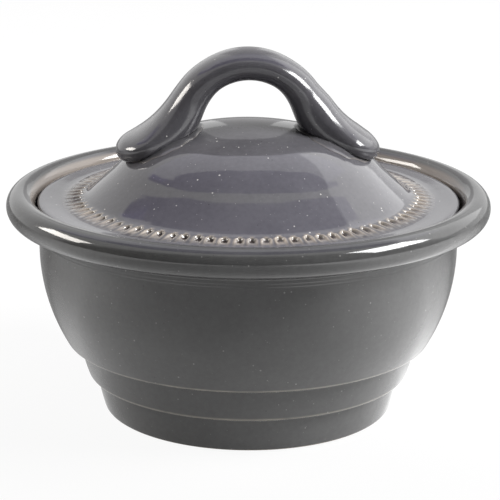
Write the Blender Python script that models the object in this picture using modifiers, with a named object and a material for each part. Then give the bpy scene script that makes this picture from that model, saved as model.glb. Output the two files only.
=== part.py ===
"""Lidded stoneware sugar bowl: stepped bowl with a rolled rim, drop-in domed lid and luted strap handle.

Metres, +Z up. The origin is the centre of the foot, on the table. The handle runs along X.
"""

import math

import bmesh
import bpy
from mathutils import Matrix

MM = 0.001

# Bowl, outside: radii grow outwards from the foot, heights stack up from the table.
FOOT_RADIUS = 36.8 * MM
FOOT_EDGE_ROUNDING = 0.4 * MM
FOOT_RING_WIDTH = 7.0 * MM
FOOT_RECESS_DEPTH = 1.2 * MM
LOWER_TIER_FLARE = 2.0 * MM
LOWER_TIER_HEIGHT = 8.4 * MM
LOWER_TIER_BULGE = 0.15 * MM
LOWER_STEP_WIDTH = 2.0 * MM
LOWER_STEP_RISE = 0.9 * MM
MIDDLE_TIER_FLARE = 2.0 * MM
MIDDLE_TIER_HEIGHT = 7.7 * MM
MIDDLE_TIER_BULGE = 0.25 * MM
UPPER_STEP_WIDTH = 3.3 * MM
UPPER_STEP_RISE = 1.4 * MM
BODY_SWELL = 6.5 * MM
BODY_HEIGHT = 23.6 * MM
NECK_HEIGHT = 5.0 * MM
NECK_BEAD_HEIGHT = 1.4 * MM
NECK_BEAD_PROUD = 0.4 * MM
RIM_OVERHANG = 7.9 * MM
RIM_UNDERSIDE_RISE = 2.3 * MM
ROLL_WIDTH = 5.9 * MM
ROLL_HEIGHT = 7.2 * MM

# Bowl, inside.
NECK_WALL = 4.0 * MM
FLOOR_THICKNESS = 5.3 * MM
INSIDE_FULLNESS = 2.4
LEDGE_THICKNESS = 3.1 * MM
LEDGE_WIDTH = 6.5 * MM
LEDGE_ROUNDING = 0.8 * MM

# Lid, from its underside up and from its edge inwards.
SEAT_GAP = 0.3 * MM
LID_SIDE_GAP = 1.8 * MM
FLANGE_EDGE_THICKNESS = 4.0 * MM
FLANGE_EDGE_ROUNDING = 1.2 * MM
FLANGE_WIDTH = 6.8 * MM
FLANGE_DISH = 0.8 * MM
NOTCH_BAND_WIDTH = 5.0 * MM
NOTCH_BAND_RISE = 0.9 * MM
NOTCH_COUNT = 84
NOTCH_LENGTH = 4.1 * MM
NOTCH_WIDTH = 1.9 * MM
NOTCH_DEPTH = 0.9 * MM
NOTCH_EDGE_MARGIN = 0.2 * MM
DOME_FILLET = 3.0 * MM
DOME_FLANK_LENGTH = 12.8 * MM
DOME_FLANK_ANGLE = math.radians(42.0)
DOME_SHOULDER_RADIUS = 31.5 * MM
DOME_CROWN_ANGLE = math.radians(14.0)
LID_WALL = 4.2 * MM

# Handle: a strap bent into an arch whose legs flare out into rounded feet.
FINGER_GAP_HEIGHT = 11.2 * MM
ARCH_INNER_RADIUS = 12.3 * MM
HANDLE_THICKNESS = 7.8 * MM
HANDLE_WIDTH = 16.0 * MM
LEG_ANGLE = math.radians(56.0)
LEG_THICKNESS = 8.9 * MM
LEG_GUSSET = 2.4 * MM
FLARE_RADIUS = 28.0 * MM
FOOT_ANGLE = math.radians(21.0)
FOOT_LIFT = 1.6 * MM
FOOT_LENGTH = 4.8 * MM
FOOT_WIDTH = 24.0 * MM
FOOT_THICKNESS = 6.0 * MM
FOOT_TIP_ROUNDING = 4.2 * MM
FOOT_PLAN_ROUNDING = 9.0 * MM

# Luting slip between each foot and the dome.
SLIP_THICKNESS = 0.8 * MM
SLIP_BEAD = 1.2 * MM
CLAY_GAP = 0.3 * MM

# Fineness of the meshes.
TURN_STEPS = 84
HANDLE_SIDES = 20
ARCH_STEPS = 9
FLARE_STEPS = 5
TIP_STEPS = 6
ARC_STEP_ANGLE = math.radians(8.0)
ROLL_STEP_ANGLE = math.radians(22.5)
INSIDE_STEPS = 9
TIER_STEPS = 3
MERGE_DISTANCE = 0.01 * MM

# Glaze of each part: linear colour and roughness.
BOWL_GLAZE = ((0.091, 0.091, 0.093), 0.16)
LID_GLAZE = ((0.120, 0.117, 0.122), 0.14)
HANDLE_GLAZE = ((0.100, 0.099, 0.102), 0.14)
SLIP_GLAZE = ((0.083, 0.082, 0.085), 0.18)

# Sizes that follow from the ones above.
LOWER_TIER_RADIUS = FOOT_RADIUS + LOWER_TIER_FLARE
MIDDLE_TIER_BASE_RADIUS = LOWER_TIER_RADIUS + LOWER_STEP_WIDTH
MIDDLE_TIER_BASE_HEIGHT = LOWER_TIER_HEIGHT + LOWER_STEP_RISE
MIDDLE_TIER_RADIUS = MIDDLE_TIER_BASE_RADIUS + MIDDLE_TIER_FLARE
MIDDLE_TIER_TOP = MIDDLE_TIER_BASE_HEIGHT + MIDDLE_TIER_HEIGHT
BODY_BASE_RADIUS = MIDDLE_TIER_RADIUS + UPPER_STEP_WIDTH
BODY_BASE_HEIGHT = MIDDLE_TIER_TOP + UPPER_STEP_RISE
BODY_RADIUS = BODY_BASE_RADIUS + BODY_SWELL
BODY_TOP = BODY_BASE_HEIGHT + BODY_HEIGHT
NECK_TOP = BODY_TOP + NECK_HEIGHT
RIM_RADIUS = BODY_RADIUS + RIM_OVERHANG
ROLL_RADIUS = RIM_RADIUS - ROLL_WIDTH / 2
ROLL_BOTTOM = NECK_TOP + RIM_UNDERSIDE_RISE
RIM_TOP = ROLL_BOTTOM + ROLL_HEIGHT
GALLERY_RADIUS = RIM_RADIUS - ROLL_WIDTH
LEDGE_HEIGHT = NECK_TOP + LEDGE_THICKNESS
LEDGE_INNER_RADIUS = GALLERY_RADIUS - LEDGE_WIDTH
INSIDE_RADIUS = BODY_RADIUS - NECK_WALL
INSIDE_FLOOR = FOOT_RECESS_DEPTH + FLOOR_THICKNESS
LID_HEIGHT = LEDGE_HEIGHT + SEAT_GAP
LID_RADIUS = GALLERY_RADIUS - LID_SIDE_GAP
NOTCH_BAND_RADIUS = LID_RADIUS - FLANGE_WIDTH
NOTCH_BAND_BASE = FLANGE_EDGE_THICKNESS - FLANGE_DISH
DOME_FOOT_RADIUS = NOTCH_BAND_RADIUS - NOTCH_BAND_WIDTH
DOME_FOOT_HEIGHT = NOTCH_BAND_BASE + NOTCH_BAND_RISE
SHOULDER_BASE_RADIUS = DOME_FOOT_RADIUS - DOME_FLANK_LENGTH * math.cos(DOME_FLANK_ANGLE)
SHOULDER_BASE_HEIGHT = DOME_FOOT_HEIGHT + DOME_FLANK_LENGTH * math.sin(DOME_FLANK_ANGLE)
SHOULDER_CENTRE = (
    SHOULDER_BASE_RADIUS - DOME_SHOULDER_RADIUS * math.sin(DOME_FLANK_ANGLE),
    SHOULDER_BASE_HEIGHT - DOME_SHOULDER_RADIUS * math.cos(DOME_FLANK_ANGLE),
)
CROWN_RADIUS = DOME_SHOULDER_RADIUS + SHOULDER_CENTRE[0] / math.sin(DOME_CROWN_ANGLE)
CROWN_CENTRE = (0.0, SHOULDER_CENTRE[1] - SHOULDER_CENTRE[0] / math.tan(DOME_CROWN_ANGLE))
DOME_TOP = CROWN_CENTRE[1] + CROWN_RADIUS
ARCH_RADIUS = ARCH_INNER_RADIUS + HANDLE_THICKNESS / 2
ARCH_CENTRE_HEIGHT = DOME_TOP + FINGER_GAP_HEIGHT - ARCH_INNER_RADIUS
ARCH_LENGTH = ARCH_RADIUS * LEG_ANGLE
FLARE_LENGTH = FLARE_RADIUS * (LEG_ANGLE - FOOT_ANGLE)
HANDLE_CLEARANCE = CLAY_GAP + SLIP_THICKNESS + CLAY_GAP


def arc(centre, radii, start, end, step=ARC_STEP_ANGLE):
    """Points on an arc of an ellipse, from one angle to another, both ends included."""
    steps = max(2, math.ceil(abs(end - start) / step))
    angles = [start + (end - start) * i / steps for i in range(steps + 1)]
    return [(centre[0] + radii[0] * math.cos(a), centre[1] + radii[1] * math.sin(a)) for a in angles]


def bulged(start, end, bulge):
    """Points of a shallow curve down from one point to another, bulging out between them."""
    run = (end[0] - start[0], end[1] - start[1])
    length = math.hypot(*run)
    out = (-run[1] / length, run[0] / length)
    points = []
    for i in range(TIER_STEPS + 1):
        t = i / TIER_STEPS
        rise = 4.0 * bulge * t * (1.0 - t)
        points.append((start[0] + run[0] * t + out[0] * rise, start[1] + run[1] * t + out[1] * rise))
    return points


def bowl_inside():
    """Inside of the bowl, from the middle of the floor up to the lid's ledge."""
    depth = BODY_TOP - INSIDE_FLOOR
    points = [(0.0, INSIDE_FLOOR)]
    for i in range(1, INSIDE_STEPS + 1):
        angle = math.pi / 2 * i / INSIDE_STEPS
        radius = INSIDE_RADIUS * math.sin(angle) ** (2.0 / INSIDE_FULLNESS)
        drop = depth * max(0.0, math.cos(angle)) ** (2.0 / INSIDE_FULLNESS)
        points.append((radius, BODY_TOP - drop))
    points.append((LEDGE_INNER_RADIUS, LEDGE_HEIGHT - LEDGE_ROUNDING))
    points.append((LEDGE_INNER_RADIUS + LEDGE_ROUNDING, LEDGE_HEIGHT))
    return points


def bowl_rim():
    """Ledge, gallery wall and rolled rim, over the top and down to the underside of the roll."""
    roll_centre = (ROLL_RADIUS, RIM_TOP - ROLL_HEIGHT / 2)
    points = [
        (GALLERY_RADIUS - LEDGE_ROUNDING, LEDGE_HEIGHT),
        (GALLERY_RADIUS, LEDGE_HEIGHT + LEDGE_ROUNDING),
    ]
    points += arc(roll_centre, (ROLL_WIDTH / 2, ROLL_HEIGHT / 2), math.pi, -math.pi / 2, ROLL_STEP_ANGLE)
    return points


def bowl_outside():
    """Neck, rounded body, two stepped tiers and foot, from the top down to the middle of the base."""
    bead_half = NECK_BEAD_HEIGHT / 2
    bead_middle = NECK_TOP - bead_half
    points = [
        (BODY_RADIUS, NECK_TOP),
        (BODY_RADIUS + NECK_BEAD_PROUD, bead_middle),
        (BODY_RADIUS, NECK_TOP - NECK_BEAD_HEIGHT),
    ]
    body_arc = (BODY_SWELL**2 + BODY_HEIGHT**2) / (2.0 * BODY_SWELL)
    body_centre = (BODY_RADIUS - body_arc, BODY_TOP)
    points += arc(body_centre, (body_arc, body_arc), 0.0, -math.asin(BODY_HEIGHT / body_arc))
    points += bulged(
        (MIDDLE_TIER_RADIUS, MIDDLE_TIER_TOP),
        (MIDDLE_TIER_BASE_RADIUS, MIDDLE_TIER_BASE_HEIGHT),
        MIDDLE_TIER_BULGE,
    )
    points += bulged(
        (LOWER_TIER_RADIUS, LOWER_TIER_HEIGHT),
        (FOOT_RADIUS, FOOT_EDGE_ROUNDING),
        LOWER_TIER_BULGE,
    )
    recess_radius = FOOT_RADIUS - FOOT_RING_WIDTH
    points += [
        (FOOT_RADIUS - FOOT_EDGE_ROUNDING, 0.0),
        (recess_radius, 0.0),
        (recess_radius - FOOT_RECESS_DEPTH, FOOT_RECESS_DEPTH),
        (0.0, FOOT_RECESS_DEPTH),
    ]
    return points


def dome_points(offset):
    """Dome from its top down to its foot, moved out from its surface by an offset (in, where negative)."""
    crown = CROWN_RADIUS + offset
    shoulder = DOME_SHOULDER_RADIUS + offset
    quarter = math.pi / 2
    points = arc(CROWN_CENTRE, (crown, crown), quarter, quarter - DOME_CROWN_ANGLE)
    points[0] = (0.0, points[0][1])
    points += arc(
        SHOULDER_CENTRE,
        (shoulder, shoulder),
        quarter - DOME_CROWN_ANGLE,
        quarter - DOME_FLANK_ANGLE,
    )[1:]
    points.append(
        (
            DOME_FOOT_RADIUS + offset * math.sin(DOME_FLANK_ANGLE),
            DOME_FOOT_HEIGHT + offset * math.cos(DOME_FLANK_ANGLE),
        )
    )
    return points


def dome_height(radius):
    """Height of the dome's outside at a radius, above the lid's underside."""
    if radius < CROWN_RADIUS * math.sin(DOME_CROWN_ANGLE):
        return CROWN_CENTRE[1] + math.sqrt(CROWN_RADIUS**2 - radius**2)
    if radius < SHOULDER_BASE_RADIUS:
        return SHOULDER_CENTRE[1] + math.sqrt(DOME_SHOULDER_RADIUS**2 - (radius - SHOULDER_CENTRE[0]) ** 2)
    return DOME_FOOT_HEIGHT + (DOME_FOOT_RADIUS - radius) * math.tan(DOME_FLANK_ANGLE)


def lid_outline():
    """Lid from the top of the dome, out over the flange, under the seat and up the inside of the dome."""
    outside = dome_points(0.0)
    foot = outside.pop()
    fillet = DOME_FILLET / 2
    band_angle = math.atan2(NOTCH_BAND_RISE, NOTCH_BAND_WIDTH)
    outside += [
        (foot[0] - fillet * math.cos(DOME_FLANK_ANGLE), foot[1] + fillet * math.sin(DOME_FLANK_ANGLE)),
        (foot[0] + fillet * math.cos(band_angle) / 4, foot[1] - fillet * math.sin(band_angle) / 4),
        (NOTCH_BAND_RADIUS, NOTCH_BAND_BASE),
        (LID_RADIUS - FLANGE_EDGE_ROUNDING, FLANGE_EDGE_THICKNESS),
        (LID_RADIUS, FLANGE_EDGE_THICKNESS - FLANGE_EDGE_ROUNDING),
        (LID_RADIUS, FLANGE_EDGE_ROUNDING / 2),
        (LID_RADIUS - FLANGE_EDGE_ROUNDING / 2, 0.0),
    ]
    inside = dome_points(-LID_WALL)
    end = inside[-1]
    mouth = end[0] + end[1] / math.tan(DOME_FLANK_ANGLE)
    inside[-1] = (mouth, 0.0)
    return outside + inside[::-1]


def leg_length():
    """Straight length of leg that brings the foot's middle line down to its height over the dome."""
    turn_x = FLARE_RADIUS * (math.sin(LEG_ANGLE) - math.sin(FOOT_ANGLE))
    turn_z = FLARE_RADIUS * (math.cos(FOOT_ANGLE) - math.cos(LEG_ANGLE))
    low = 0.0
    high = DOME_TOP + FINGER_GAP_HEIGHT
    halvings = 40
    for _ in range(halvings):
        middle = (low + high) / 2
        x = ARCH_RADIUS * math.sin(LEG_ANGLE) + middle * math.cos(LEG_ANGLE) + turn_x
        z = ARCH_CENTRE_HEIGHT + ARCH_RADIUS * math.cos(LEG_ANGLE) - middle * math.sin(LEG_ANGLE) - turn_z
        if z > dome_height(x) + FOOT_LIFT:
            low = middle
        else:
            high = middle
    return low


def handle_middle(distance, leg):
    """Place and downward slope of the handle's middle line, at a distance along it from the top."""
    if distance <= ARCH_LENGTH:
        slope = distance / ARCH_RADIUS
        return ARCH_RADIUS * math.sin(slope), ARCH_CENTRE_HEIGHT + ARCH_RADIUS * math.cos(slope), slope
    x, z, slope = handle_middle(ARCH_LENGTH, leg)
    straight = min(distance - ARCH_LENGTH, leg)
    x += straight * math.cos(slope)
    z -= straight * math.sin(slope)
    turned_by = min(max(distance - ARCH_LENGTH - leg, 0.0), FLARE_LENGTH) / FLARE_RADIUS
    x += FLARE_RADIUS * (math.sin(slope) - math.sin(slope - turned_by))
    z -= FLARE_RADIUS * (math.cos(slope - turned_by) - math.cos(slope))
    slope -= turned_by
    foot = max(distance - ARCH_LENGTH - leg - FLARE_LENGTH, 0.0)
    return x + foot * math.cos(slope), z - foot * math.sin(slope), slope


def ease(value, start, end):
    """Smooth step from 0 at start to 1 at end."""
    t = min(max((value - start) / (end - start), 0.0), 1.0)
    return t * t * (3.0 - 2.0 * t)


def rounded_end(remaining, rounding):
    """Share of the full size left, at a distance before a rounded end."""
    into = max(0.0, 1.0 - remaining / rounding)
    return math.sqrt(max(0.0, 1.0 - into * into))


def handle_rings(start, grow):
    """Oval sections down the right half of the handle, from a distance along it to the tip of its foot.

    The sections stand out by grow beyond the handle's own surface.
    """
    leg = leg_length()
    leg_end = ARCH_LENGTH + leg
    flare_middle = leg_end + FLARE_LENGTH / 2
    foot_start = leg_end + FLARE_LENGTH
    tip = foot_start + FOOT_LENGTH + grow
    straight_end = tip - FOOT_TIP_ROUNDING
    distances = [ARCH_LENGTH * i / ARCH_STEPS for i in range(ARCH_STEPS + 1)]
    distances.append((ARCH_LENGTH + leg_end) / 2)
    distances += [leg_end + FLARE_LENGTH * i / FLARE_STEPS for i in range(FLARE_STEPS + 1)]
    distances.append((foot_start + straight_end) / 2)
    for i in range(TIP_STEPS):
        distances.append(straight_end + FOOT_TIP_ROUNDING * math.sin(math.pi / 2 * i / TIP_STEPS))
    rings = []
    for distance in sorted(d for d in distances if d >= start):
        x, z, slope = handle_middle(distance, leg)
        thick = HANDLE_THICKNESS
        thick += (LEG_THICKNESS - HANDLE_THICKNESS) * ease(distance, ARCH_LENGTH / 2, leg_end)
        thick += (FOOT_THICKNESS - LEG_THICKNESS) * ease(distance, leg_end, foot_start + FOOT_LENGTH)
        wide = HANDLE_WIDTH + (FOOT_WIDTH - HANDLE_WIDTH) * ease(distance, ARCH_LENGTH, foot_start)
        half_thick = (thick / 2 + grow) * rounded_end(tip - distance, FOOT_TIP_ROUNDING)
        half_wide = (wide / 2 + grow) * rounded_end(tip - distance, FOOT_PLAN_ROUNDING)
        gusset = LEG_GUSSET * (ease(distance, ARCH_LENGTH, flare_middle) - ease(distance, flare_middle, tip))
        ring = []
        for i in range(HANDLE_SIDES):
            turn = 2.0 * math.pi * i / HANDLE_SIDES
            rise = (half_thick if math.cos(turn) > 0.0 else half_thick + gusset) * math.cos(turn)
            ring.append((x + rise * math.sin(slope), half_wide * math.sin(turn), z + rise * math.cos(slope)))
        rings.append(ring)
    return rings


def new_collection(name):
    """New collection in the scene."""
    collection = bpy.data.collections.new(name)
    bpy.context.scene.collection.children.link(collection)
    return collection


def place(name, mesh, collection, parent=None):
    """New object in a collection, under its parent."""
    obj = bpy.data.objects.new(name, mesh)
    collection.objects.link(obj)
    obj.parent = parent
    return obj


def turned(name, outline, collection, parent=None):
    """Solid turned about Z from an outline that runs down its outer side."""
    mesh = bpy.data.meshes.new(name)
    mesh.from_pydata(
        [(radius, 0.0, height) for radius, height in outline],
        [(i, i + 1) for i in range(len(outline) - 1)],
        [],
    )
    obj = place(name, mesh, collection, parent)
    screw = obj.modifiers.new("Turn", "SCREW")
    screw.steps = TURN_STEPS
    screw.render_steps = TURN_STEPS
    screw.use_merge_vertices = True
    screw.merge_threshold = MERGE_DISTANCE
    screw.use_smooth_shade = True
    return obj


def lofted(name, rings, collection, parent=None):
    """Solid with a skin drawn over a row of rings, closed at both ends."""
    bm = bmesh.new()
    loops = [[bm.verts.new(point) for point in ring] for ring in rings]
    for near, far in zip(loops, loops[1:]):
        for i in range(len(near)):
            j = (i + 1) % len(near)
            bm.faces.new((near[i], near[j], far[j], far[i]))
    bm.faces.new(loops[0])
    bm.faces.new(loops[-1])
    bmesh.ops.recalc_face_normals(bm, faces=bm.faces)
    mesh = bpy.data.meshes.new(name)
    bm.to_mesh(mesh)
    bm.free()
    mesh.shade_smooth()
    return place(name, mesh, collection, parent)


def boolean(obj, other, operation):
    """Boolean of an object with another, kept as a modifier."""
    modifier = obj.modifiers.new(operation.title(), "BOOLEAN")
    modifier.operation = operation
    modifier.solver = "EXACT"
    modifier.object = other


def hide_tool(obj):
    """Mark an object as a cutter, not a part."""
    obj.hide_render = True
    obj.display_type = "WIRE"


def glaze(obj, colour, roughness):
    """Give a part its own glazed stoneware material."""
    material = bpy.data.materials.new(obj.name + "_glaze")
    material.use_nodes = True
    shader = material.node_tree.nodes["Principled BSDF"]
    shader.inputs["Base Color"].default_value = (*colour, 1.0)
    shader.inputs["Roughness"].default_value = roughness
    shader.inputs["Metallic"].default_value = 0.0
    obj.data.materials.append(material)


def make_bowl(parts):
    """The bowl, as one turned solid."""
    bowl = turned("bowl", bowl_inside() + bowl_rim() + bowl_outside(), parts)
    glaze(bowl, *BOWL_GLAZE)


def make_notch_cutter(tools, parent):
    """One small block for each notch, sunk to the notch's depth into the sloping band round the dome."""
    tilt = math.atan2(NOTCH_BAND_RISE, NOTCH_BAND_WIDTH)
    inset = (NOTCH_EDGE_MARGIN + NOTCH_LENGTH / 2) * math.cos(tilt)
    middle_radius = NOTCH_BAND_RADIUS - inset
    middle_height = NOTCH_BAND_BASE + inset * math.tan(tilt)
    bm = bmesh.new()
    for i in range(NOTCH_COUNT):
        block = bmesh.ops.create_cube(bm, size=1.0)["verts"]
        bmesh.ops.scale(bm, verts=block, vec=(NOTCH_LENGTH, NOTCH_WIDTH, 2.0 * NOTCH_DEPTH))
        bmesh.ops.rotate(bm, verts=block, matrix=Matrix.Rotation(tilt, 3, "Y"))
        bmesh.ops.translate(bm, verts=block, vec=(middle_radius, 0.0, middle_height))
        turn = 2.0 * math.pi * (i + 0.5) / NOTCH_COUNT
        bmesh.ops.rotate(bm, verts=block, matrix=Matrix.Rotation(turn, 3, "Z"))
    mesh = bpy.data.meshes.new("notch_cutter")
    bm.to_mesh(mesh)
    bm.free()
    cutter = place("notch_cutter", mesh, tools, parent)
    hide_tool(cutter)
    return cutter


def make_lid(parts, tools, parent):
    """The lid: turned dome and flange, with the ring of notches cut into it."""
    lid = turned("lid", lid_outline(), parts, parent)
    boolean(lid, make_notch_cutter(tools, parent), "DIFFERENCE")
    glaze(lid, *LID_GLAZE)


def make_handle(parts, tools, parent):
    """The strap handle, with its feet cut to lie over the dome on their slip."""
    right = handle_rings(0.0, 0.0)
    left = [[(-x, y, z) for x, y, z in ring] for ring in right[:0:-1]]
    handle = lofted("lid_handle", left + right, parts, parent)
    outline = dome_points(HANDLE_CLEARANCE)
    foot_radius = outline[-1][0]
    dome = turned("handle_foot_cutter", outline + [(foot_radius, 0.0), (0.0, 0.0)], tools, parent)
    hide_tool(dome)
    boolean(handle, dome, "DIFFERENCE")
    glaze(handle, *HANDLE_GLAZE)


def make_slip_seams(parts, tools, parent):
    """The two pads of slip, each a bead wider than its foot, as thick as the slip all over the dome."""
    layer_outside = dome_points(CLAY_GAP + SLIP_THICKNESS)
    layer_inside = dome_points(CLAY_GAP)
    layer = turned("slip_layer", layer_outside + layer_inside[::-1], tools, parent)
    hide_tool(layer)
    rings = handle_rings(ARCH_LENGTH / 2, SLIP_BEAD)
    for name, turn in (("right_slip_seam", 0.0), ("left_slip_seam", math.pi)):
        seam = lofted(name, rings, parts, parent)
        seam.rotation_euler.z = turn
        boolean(seam, layer, "INTERSECT")
        glaze(seam, *SLIP_GLAZE)


def main():
    """Build the bowl, and the lid with its handle on the axis that it lifts along."""
    for obj in list(bpy.data.objects):
        bpy.data.objects.remove(obj, do_unlink=True)
    parts = new_collection("sugar_bowl_with_lid")
    tools = new_collection("cutters")
    make_bowl(parts)
    lift = place("lid_lift_axis", None, parts)
    lift.location.z = LID_HEIGHT
    make_lid(parts, tools, lift)
    make_handle(parts, tools, lift)
    make_slip_seams(parts, tools, lift)


main()
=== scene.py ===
"""Looks of a lidded stoneware sugar bowl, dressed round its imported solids.

Metres, +Z up, the handle along X and the camera on the -Y side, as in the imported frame.
"""

import logging
import math
import random
from collections.abc import Callable, Iterator, Sequence
from contextlib import contextmanager
from dataclasses import dataclass
from enum import Enum
from functools import partial

import bmesh
import bpy
from mathutils import Matrix, Vector

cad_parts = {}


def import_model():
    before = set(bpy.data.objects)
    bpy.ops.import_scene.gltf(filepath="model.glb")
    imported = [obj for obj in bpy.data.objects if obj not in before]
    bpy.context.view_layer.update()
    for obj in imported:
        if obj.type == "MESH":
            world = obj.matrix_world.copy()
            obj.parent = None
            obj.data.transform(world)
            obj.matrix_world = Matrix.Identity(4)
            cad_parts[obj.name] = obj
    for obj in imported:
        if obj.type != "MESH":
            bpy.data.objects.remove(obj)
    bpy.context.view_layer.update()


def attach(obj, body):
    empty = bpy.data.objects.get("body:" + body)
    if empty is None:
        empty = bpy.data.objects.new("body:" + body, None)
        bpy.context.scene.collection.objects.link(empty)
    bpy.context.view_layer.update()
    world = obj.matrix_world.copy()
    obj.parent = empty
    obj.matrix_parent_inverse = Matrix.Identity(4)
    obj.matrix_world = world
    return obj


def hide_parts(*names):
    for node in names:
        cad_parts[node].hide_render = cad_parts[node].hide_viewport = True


log = logging.getLogger("sugar_bowl")

MM = 0.001
MERGE_DISTANCE = 0.002 * MM
FULL_TURN = 2.0 * math.pi
WHITE = (1.0, 1.0, 1.0, 1.0)

MATH = "ShaderNodeMath"
VECTOR = "ShaderNodeVectorMath"
RANGE = "ShaderNodeMapRange"
MIX = "ShaderNodeMix"
NOISE = "ShaderNodeTexNoise"
EMISSION = "ShaderNodeEmission"
ATTRIBUTE = "ShaderNodeAttribute"
SPLIT = "ShaderNodeSeparateXYZ"
JOIN = "ShaderNodeCombineXYZ"
SOFT = {"interpolation_type": "SMOOTHSTEP"}

Point = tuple[float, float]
Corner = tuple[float, float, float]
Object = bpy.types.Object
Node = bpy.types.Node
Socket = bpy.types.NodeSocket
Adder = Callable[..., Node]
Layer = tuple[Node | Socket, str]


class Body(Enum):
    """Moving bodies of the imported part."""

    BOWL = "bowl"
    LID = "lid"


class Slot(Enum):
    """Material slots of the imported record."""

    BOWL = "bowl_glaze"
    LID = "lid_glaze"
    HANDLE = "handle_glaze"
    SLIP = "slip_glaze"


class Pick(Enum):
    """What is selected in a mesh."""

    POINTS = "VERT"
    EDGES = "EDGE"


def linear(hex_colour: str) -> tuple[float, float, float, float]:
    """Turn an sRGB hex colour to linear light.

    Args:
        hex_colour: Six hex digits, such as "7c7a80".

    Returns:
        Red, green, blue and an alpha of 1.
    """
    parts = [int(hex_colour[i : i + 2], 16) / 255.0 for i in (0, 2, 4)]
    red, green, blue = (c / 12.92 if c <= 0.04045 else ((c + 0.055) / 1.055) ** 2.4 for c in parts)
    return red, green, blue, 1.0


def scale_of(size: float) -> float:
    """Pattern scale at which a feature is as large as a size in mm."""
    return 1.0 / (size * MM)


def smooth(value: float, start: float, end: float) -> float:
    """Smooth step.

    Args:
        value: Where on the step.
        start: Where the step leaves 0.
        end: Where the step reaches 1.

    Returns:
        A share from 0 to 1.
    """
    t = min(max((value - start) / (end - start), 0.0), 1.0)
    return t * t * (3.0 - 2.0 * t)


def arc(centre: Point, radii: Point, start: float, end: float, steps: int) -> list[Corner]:
    """Points on an arc of an ellipse, both ends included.

    Args:
        centre: Radius and height of the arc's centre, in mm.
        radii: Half width and half height of the ellipse, in mm.
        start: First angle, in degrees.
        end: Last angle, in degrees.
        steps: Number of chords.

    Returns:
        Corners without rounding.
    """
    points = []
    for i in range(steps + 1):
        angle = math.radians(start + (end - start) * i / steps)
        r = centre[0] + radii[0] * math.cos(angle)
        points.append((r, centre[1] + radii[1] * math.sin(angle), 0.0))
    return points


def rounded(corners: Sequence[Corner], steps: int = 5) -> list[Point]:
    """Round the corners of an outline.

    Args:
        corners: Radius, height and rounding of each corner, in mm.
        steps: Chords in each rounded corner.

    Returns:
        Radius and height of each point of the outline, in mm.
    """
    points: list[Point] = []
    for i, (r, z, rounding) in enumerate(corners):
        if rounding <= 0.0 or i in (0, len(corners) - 1):
            points.append((r, z))
            continue
        here = Vector((r, z))
        back = Vector(corners[i - 1][:2]) - here
        ahead = Vector(corners[i + 1][:2]) - here
        half = back.angle(ahead) / 2.0
        reach = min(rounding / math.tan(half), 0.48 * back.length, 0.48 * ahead.length)
        back.normalize()
        ahead.normalize()
        middle = here + (back + ahead).normalized() * (reach / math.cos(half))
        first = here + back * reach
        last = here + ahead * reach
        radius = (first - middle).length
        for k in range(steps + 1):
            way = (first - middle).lerp(last - middle, k / steps).normalized()
            points.append(tuple(middle + way * radius))
    return points


def deselect() -> None:
    """Leave edit mode and clear the selection."""
    if bpy.context.object and bpy.context.object.mode != "OBJECT":
        bpy.ops.object.mode_set(mode="OBJECT")
    bpy.ops.object.select_all(action="DESELECT")


def activate(obj: Object) -> None:
    """Select one object alone and make it the active one.

    Args:
        obj: The object.
    """
    deselect()
    obj.select_set(True)
    bpy.context.view_layer.objects.active = obj


@contextmanager
def editing(obj: Object) -> Iterator[None]:
    """Edit mode on one object, with its whole mesh selected.

    Args:
        obj: The object.

    Yields:
        Nothing; edit mode ends after the block.
    """
    activate(obj)
    bpy.ops.object.mode_set(mode="EDIT")
    bpy.ops.mesh.select_all(action="SELECT")
    yield
    bpy.ops.object.mode_set(mode="OBJECT")


def select(obj: Object, kind: Pick, wanted: Callable[..., bool]) -> None:
    """Select vertices or edges in edit mode by their place.

    Args:
        obj: Object in edit mode.
        kind: What is selected.
        wanted: Says whether a vertex or edge is to be selected.
    """
    bpy.ops.mesh.select_mode(type=kind.value)
    bpy.ops.mesh.select_all(action="DESELECT")
    shape = bmesh.from_edit_mesh(obj.data)
    for element in shape.edges if kind is Pick.EDGES else shape.verts:
        element.select_set(wanted(element))
    shape.select_flush_mode()
    bmesh.update_edit_mesh(obj.data)


def close_seams() -> None:
    """Merge doubled vertices of the mesh in edit mode and turn its faces outwards."""
    bpy.ops.mesh.select_all(action="SELECT")
    bpy.ops.mesh.remove_doubles(threshold=MERGE_DISTANCE)
    bpy.ops.mesh.normals_make_consistent(inside=False)


def apply_modifier(obj: Object, kind: str, **settings: object) -> None:
    """Add a modifier to an object and apply it.

    Args:
        obj: Object that gets the modifier.
        kind: Blender's name for the kind of modifier.
        settings: Values of the modifier's own fields.
    """
    activate(obj)
    modifier = obj.modifiers.new(kind.title(), kind)
    for name, value in settings.items():
        setattr(modifier, name, value)
    bpy.ops.object.modifier_apply(modifier=modifier.name)


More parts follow.
